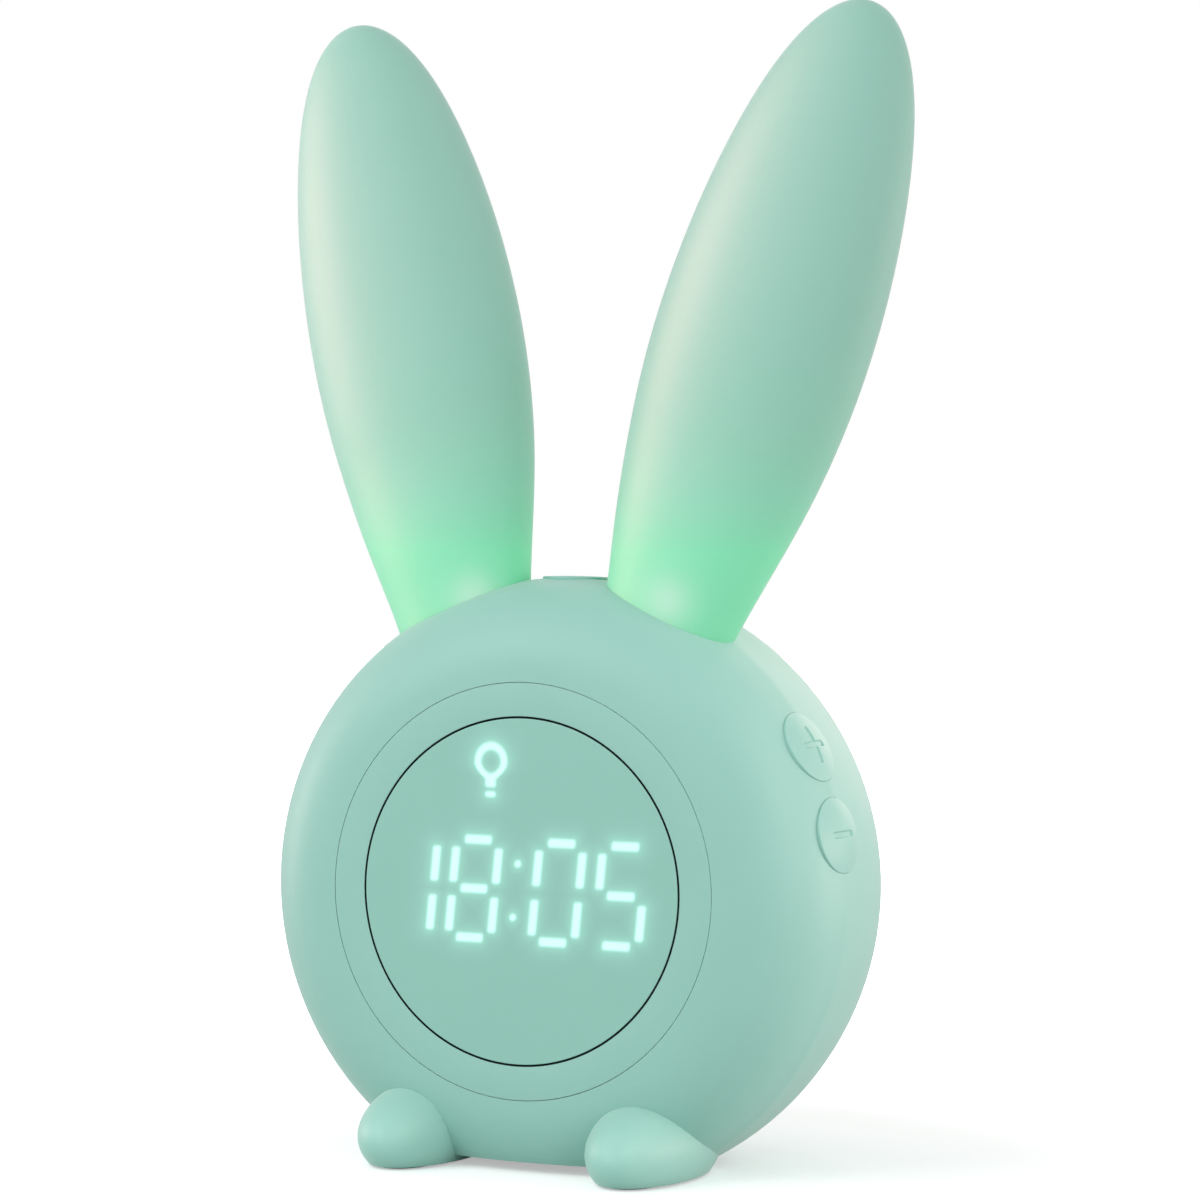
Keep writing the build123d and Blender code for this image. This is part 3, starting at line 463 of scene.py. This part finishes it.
ear = {"base": (17.3, -4.2, 85.0), "tip": (47.8, 6.5, 191.7), "bend": (-0.2, 1.0, 0.0), "twist": -2.0,
       "stations": (0.0, 0.06, 0.15, 0.3, 0.5, 0.7, 0.85, 0.95),
       "halfWidths": (11.38, 11.9, 14.4, 17.5, 19.0, 17.35, 13.6, 8.3), "flatness": 0.6, "start": -0.04,
       "rootShift": -0.6, "rootThicken": 0.55, "rootEnd": (0.12, 0.32), "rows": 150, "columns": 128}


def earWidthTerms():
    # half width squared = (1 - s) * (c0 + c1 s + c2 s^2 + c3 s^3 + c4 s^4), the c fitted to the stations
    s = np.array(ear["stations"])
    widths = np.array(ear["halfWidths"])
    powers = s[:, None] ** np.arange(5)
    return np.linalg.lstsq((1 - s)[:, None] * powers, widths ** 2, rcond=None)[0]


def makeEar(side, name):
    # an oval carried along a slightly bent axis: s runs from under the housing's skin to the tip,
    # t = 1 - (1 - s)^0.5 spaces the rows so that the tip is round
    t = np.linspace(0, 1, ear["rows"])[:-1]
    s = ear["start"] + (1 - ear["start"]) * (1 - (1 - t) ** 2)
    phi = np.linspace(0, 2 * np.pi, ear["columns"], endpoint=False)
    base, tip, bend = (np.array(ear[key], float) for key in ("base", "tip", "bend"))
    along = (tip - base) / np.linalg.norm(tip - base)
    across = np.array([1.0, 0, 0]) - along * along[0]
    across /= np.linalg.norm(across)
    through = np.cross(along, across)
    twist = math.radians(ear["twist"])
    across, through = (math.cos(twist) * across + math.sin(twist) * through,
                       math.cos(twist) * through - math.sin(twist) * across)
    centre = base + (tip - base) * s[:, None] + 4 * (s * (1 - s))[:, None] * bend
    half = np.sqrt((1 - s) * (np.maximum(s, 0.0)[:, None] ** np.arange(5) @ earWidthTerms()))
    # near the root it is a little thicker and farther forward, which fills the housing's opening
    full, none = ear["rootEnd"]
    q = np.clip((none - s) / (none - full), 0, 1)
    root = q * q * (3 - 2 * q)
    centre[:, 1] += ear["rootShift"] * root
    thick = ear["flatness"] * half + ear["rootThicken"] * root
    points = (centre[:, None, :] + (half[:, None] * np.cos(phi))[..., None] * across
              + (thick[:, None] * np.sin(phi))[..., None] * through)
    points[:, :, 0] *= side
    return meshFromGrid(name, np.concatenate([points, np.broadcast_to(tip * (side, 1, 1), points[:1].shape)]),
                        closeU=True, poles=("first",), flip=side < 0)


earMaterial = earSilicone()
ears = []
for side, word in ((-1, "left"), (1, "right")):
    piece = makeEar(side, word + "EarSkin")
    ears.append(finishPiece(piece, "clock", [word + "_ear"], earMaterial))
lightOnly("ears", ears)
lightOnly("leftEar", ears[:1])
lightOnly("rightEar", ears[1:])
print("ears")


# face: ring and lens

axisHeight = 45.9
ring = {"outer": 33.8, "inner": 28.36, "front": -20.0, "back": -17.6, "edge": 0.06, "columns": 256}
lens = {"radius": 28.0, "front": -20.0, "back": -18.5, "edge": 0.06, "rows": 110, "columns": 512}


def roundedCorner(x, y, radius, fromAngle, toAngle, steps=5):
    # a quarter circle from fromAngle to toAngle, as (steps, 2)
    angle = np.radians(np.linspace(fromAngle, toAngle, steps))
    return np.stack([x + radius * np.cos(angle), y + radius * np.sin(angle)], -1)


def revolved(profile, columns):
    # profile of (r, y) turned about the housing's axis, as a grid of points
    turn = np.linspace(0, 2 * np.pi, columns, endpoint=False)
    r, y = profile[:, 0][:, None], profile[:, 1][:, None]
    return np.stack([r * np.cos(turn), y + 0 * turn, axisHeight + r * np.sin(turn)], -1)


def makeFaceRing():
    e = ring["edge"]
    profile = np.vstack([
        [[ring["inner"], ring["back"]]],
        roundedCorner(ring["inner"] + e, ring["front"] + e, e, 180, 270),
        roundedCorner(ring["outer"] - e, ring["front"] + e, e, 270, 360),
        [[ring["outer"], ring["back"]], [ring["inner"], ring["back"]]],
    ])
    return meshFromGrid("faceRingTrim", revolved(profile, ring["columns"]), closeU=True, flip=True)


digits = {"height": 16.0, "width": 7.75, "slant": 4.8, "pitch": 11.25, "gap": 15.0, "x": -0.65, "z": 0.1,
          "line": 1.5, "length": 4.9, "upright": 5.8, "uprightDrop": 0.2, "colonRise": 4.35, "dot": 0.6,
          "shown": ("1", "8", "0", "5")}
segmentsOf = {"0": "abcdef", "1": "bc", "5": "acdfg", "8": "abcdefg"}
bulbSign = {"x": -5.45, "z": 20.85, "ring": (2.35, 2.55), "taper": 0.3, "line": 1.25, "neckHalf": 0.95,
            "neckTop": -2.2, "neckEnd": -4.2, "baseHalf": 0.95, "baseDrop": -5.3}


farAway = 9.0  # millimetres from an outline: nothing glows or is sunk there


def barDistance(u, v, halfLong, halfWide, corner=0.5):
    # distance to a bar's edge with softly rounded ends; negative inside
    du = np.abs(u) - halfLong + corner
    dv = np.abs(v) - halfWide + corner
    outside = np.hypot(np.maximum(du, 0), np.maximum(dv, 0))
    return outside + np.minimum(np.maximum(du, dv), 0) - corner


def litDistance(x, z):
    # nearest distance to any lit outline: segments, colon dots and the bulb sign
    slope = math.tan(math.radians(digits["slant"]))
    upLine, flatLine = digits["upright"] / 2, digits["length"] / 2
    halfLine, halfWide, quarter = digits["line"] / 2, digits["width"] / 2, digits["height"] / 4
    places = {"a": (0, 2 * quarter, False), "g": (0, 0, False), "d": (0, -2 * quarter, False),
              "b": (halfWide, quarter, True), "c": (halfWide, -quarter, True),
              "e": (-halfWide, -quarter, True), "f": (-halfWide, quarter, True)}
    inner, outer = digits["gap"] / 2, digits["gap"] / 2 + digits["pitch"]
    up = z - digits["z"]
    across = x - digits["x"] - up * slope
    nearest = np.full(x.shape, np.inf)
    for offset, digit in zip((-outer, -inner, inner, outer), digits["shown"]):
        for letter in segmentsOf[digit]:
            u, v, upright = places[letter]
            long, short = (upLine, halfLine) if upright else (flatLine, halfLine)
            du, dv = across - offset - u, up - v + (digits["uprightDrop"] if upright else 0)
            along, aside = (dv, du) if upright else (du, dv)
            nearest = np.minimum(nearest, barDistance(along, aside, long, short))
    for rise in (-digits["colonRise"], digits["colonRise"]):
        nearest = np.minimum(nearest, np.hypot(across, up - rise) - digits["dot"])
    bx, bz = x - bulbSign["x"], z - bulbSign["z"]
    # an oval whose lower half narrows towards the neck
    ringX, ringZ = bulbSign["ring"]
    narrowed = ringX * (1 - bulbSign["taper"] * np.clip(-bz / ringZ, 0, 1) ** 2)
    glass = np.hypot(bx / narrowed, bz / ringZ)
    nearest = np.minimum(nearest, np.abs(glass - 1) * ringX - bulbSign["line"] / 2)
    middle = (bulbSign["neckTop"] + bulbSign["neckEnd"]) / 2
    neck = barDistance(bx, bz - middle, bulbSign["neckHalf"], (bulbSign["neckTop"] - bulbSign["neckEnd"]) / 2)
    base = barDistance(bx, bz - bulbSign["baseDrop"], bulbSign["baseHalf"], 0.5)
    return np.minimum(nearest, np.minimum(neck, base))


def makeLens():
    e = lens["edge"]
    flat = np.linspace(0.0, lens["radius"] - e, lens["rows"])[1:]
    profile = np.vstack([
        np.stack([flat, np.full(len(flat), lens["front"])], -1),
        roundedCorner(lens["radius"] - e, lens["front"] + e, e, 270, 360)[1:],
        [[lens["radius"], lens["back"]], [1.0, lens["back"]]],
    ])
    piece = meshFromGrid("displayLensFront", revolved(profile, lens["columns"]), closeU=True,
                         poles=("first", "last"))
    places = np.empty(len(piece.data.vertices) * 3)
    piece.data.vertices.foreach_get("co", places)
    places = places.reshape(-1, 3) / mm
    edge = litDistance(places[:, 0], places[:, 2] - axisHeight)
    edge = np.where(places[:, 1] > lens["front"] + 0.5, farAway, edge)
    layer = piece.data.attributes.new("lightEdge", "FLOAT", "POINT")
    layer.data.foreach_set("value", edge.astype(np.float32))
    return piece


housingAbs = softTouchAbs()
housing = [
    finishPiece(makeFaceRing(), "clock", ["face_ring"], housingAbs),
    finishPiece(makeLens(), "clock", ["display_lens"], satinLensAcrylic()),
]
print("ring and lens")


# housing

for node, name in (("body_shell", "housingShell"), ("rear_cover", "rearCoverShell"),
                   ("left_foot", "leftFootEgg"), ("right_foot", "rightFootEgg")):
    housing.append(finishPiece(smoothCopy(node, name), "clock", [node], housingAbs))
lightOnly("feet", housing[-2:])
print("housing")


# buttons

# angle round the housing, y, surface radius there, lean of the surface, cap radius, rim height, dome height
rightSpot = (-5.0, 50.74, -0.1242, 6.17, -0.25, 1.1)
leftSpot = (0.0, 51.0, 0.0, 6.17, -0.25, 1.1)
topSpot = (0.0, 51.0, 0.0, 5.67, 0.15, 0.15)
buttons = {"plus": (29.0, *rightSpot), "minus": (12.0, *rightSpot), "mode": (151.0, *leftSpot),
           "alarm": (168.0, *leftSpot), "top": (90.0, *topSpot)}
button = {"edge": 0.2, "low": -3.0, "signLine": 0.95, "signHalf": 3.2, "signDepth": 0.3,
          "signEdge": 0.3, "clockShare": 0.92, "handSpare": 0.2, "clockLine": 0.5, "bellRadius": 2.2,
          "bellRim": 0.9, "rimLine": 0.4, "rows": 96, "columns": 180}


def signDistance(name, u, v):
    # distance to the sign's edge; u runs round the housing, v along its axis
    half, line = button["signHalf"], button["signLine"] / 2
    if name == "plus":
        return np.minimum(barDistance(u, v, half, line), barDistance(v, u, half, line))
    if name == "minus":
        return barDistance(v, u, half, line)
    if name == "mode":
        thin = line * button["clockLine"]
        clock = np.abs(np.hypot(u, v) - half * button["clockShare"]) - thin
        return np.minimum(clock, barDistance(u + half / 4, v, half / 4 + button["handSpare"], thin))
    if name == "alarm":
        # on this side u points down: the bell's dome is above, its rim line below it
        dome = np.maximum(np.hypot(u, v) - button["bellRadius"], u)
        return np.minimum(dome, barDistance(v, u - button["bellRim"], half, line * button["rimLine"]))
    return np.full(u.shape, farAway)


def makeButton(name):
    # a low dome h = rim + dome (1 - (r / R)^2) with a rounded edge, sides going straight down;
    # the sign is sunk by depth * smoothstep(0.5 - distance / signEdge)
    angle, y, surface, lean, radius, rim, dome = buttons[name]
    e = button["edge"]
    r = np.linspace(0, radius - e, button["rows"])[1:]
    top = rim + dome * (1 - (r / radius) ** 2)
    edge = roundedCorner(radius - e, top[-1] - e, e, 90, 0, 8)[1:]
    profile = np.vstack([np.stack([r, top], -1), edge, [[radius, button["low"]]]])
    turn = np.linspace(0, 2 * np.pi, button["columns"], endpoint=False)
    u = profile[:, 0][:, None] * np.cos(turn)
    v = profile[:, 0][:, None] * np.sin(turn)
    sunk = np.clip(0.5 - signDistance(name, u, v) / button["signEdge"], 0, 1)
    height = profile[:, 1][:, None] - button["signDepth"] * sunk * sunk * (3 - 2 * sunk)
    angle = math.radians(angle)
    away = np.array([math.cos(angle), 0, math.sin(angle)])
    around = np.array([-math.sin(angle), 0, math.cos(angle)])
    out = math.cos(lean) * away + np.array([0, math.sin(lean), 0])
    back = np.array([0, math.cos(lean), 0]) - math.sin(lean) * away
    centre = np.array([0, y, axisHeight]) + surface * away
    points = centre + u[..., None] * around + v[..., None] * back + height[..., None] * out
    return meshFromGrid(name + "ButtonCap", points, closeU=True, poles=("first", "last"), flip=True)


buttonSilicone = mouldedPlastic("mattButtonSilicone", mint["low"], mint["high"], 0.45, 0.4, 0.01,
                                sheen=0.15, subsurface=0.15)
for name in buttons:
    cap = makeButton(name)
    housing.append(finishPiece(cap, name + "_key", [name + "_button"], buttonSilicone))
lightOnly("housing", housing)
print("buttons")


# finishes of the other CAD nodes

whiteAbs = mouldedPlastic("whiteMouldedAbs", "#dfe0da", "#e8e8e3", 0.5, 0.5, 0.01)
blackPlastic = mouldedPlastic("blackMouldedNylon", "#17191a", "#202324", 0.45, 0.4, 0.01)
blackFoam = mouldedPlastic("blackFoamGasket", "#08130f", "#0e1f1a", 0.9, 0.25, 0.03)
padRubber = mouldedPlastic("mattPadSilicone", "#a9c8c0", "#b4d0c9", 0.6, 0.6, 0.02, subsurface=0.1)
litGuide = mouldedPlastic("litLightGuide", "#c8fbf6", "#d4fdf9", 0.4, 0.6, 0.005)
darkGuide = mouldedPlastic("darkLightGuide", "#9cc6bd", "#a6cec6", 0.4, 0.6, 0.005)
ledResin = mouldedPlastic("ledResin", "#ece2b4", "#f4ecca", 0.25, 0.6, 0.004)
cellSleeve = mouldedPlastic("cellShrinkSleeve", "#1f5e9e", "#2569ab", 0.28, 2.0, 0.01)
leadSleeve = mouldedPlastic("leadSleeve", "#b92f26", "#c63a2f", 0.4, 1.0, 0.01)
conePaper = mouldedPlastic("pressedPaperCone", "#222222", "#303030", 0.8, 0.5, 0.04)
steel = groundMetal("zincPlatedSteel", "#8f9293", "#a5a8a9", 0.35, 0.6)
socketSteel = groundMetal("nickelSocket", "#b9bbbc", "#c9cbcc", 0.25, 0.8)
blackSteel = mouldedPlastic("blackPaintedSteel", "#1b1c1d", "#262728", 0.4, 0.5, 0.01)
ferrite = groundMetal("ferriteMagnet", "#3c3e40", "#4a4c4e", 0.55, 0.5)
board = circuitBoard()
blackFoam.node_tree.nodes["Principled BSDF"].inputs["Specular IOR Level"].default_value = 0.1
litGuide.node_tree.nodes["Principled BSDF"].inputs["Emission Color"].default_value = toLinear("#cefbf7")
litGuide.node_tree.nodes["Principled BSDF"].inputs["Emission Strength"].default_value = 0.8

slotFinish = {"mint_abs": housingAbs, "white_abs": whiteAbs, "black_foam": blackFoam, "lit_guide": litGuide,
              "dark_guide": darkGuide, "circuit_board": board, "led_chip": ledResin,
              "chip_black": blackPlastic, "switch_black": blackPlastic, "battery_wrap": cellSleeve,
              "speaker_steel": blackSteel, "speaker_paper": conePaper, "magnet": ferrite,
              "socket_steel": socketSteel, "screw_steel": steel, "pad_rubber": padRubber,
              "button_silicone": buttonSilicone, "lead_pvc": leadSleeve,
              "ear_silicone": earMaterial, "lens_acrylic": housingAbs}
for part in frame["record"]["subparts"]:
    thing = frame["nodes"][part["node"]]
    thing.data.materials.clear()
    thing.data.materials.append(slotFinish[part["material_slot"]])
print("finishes")
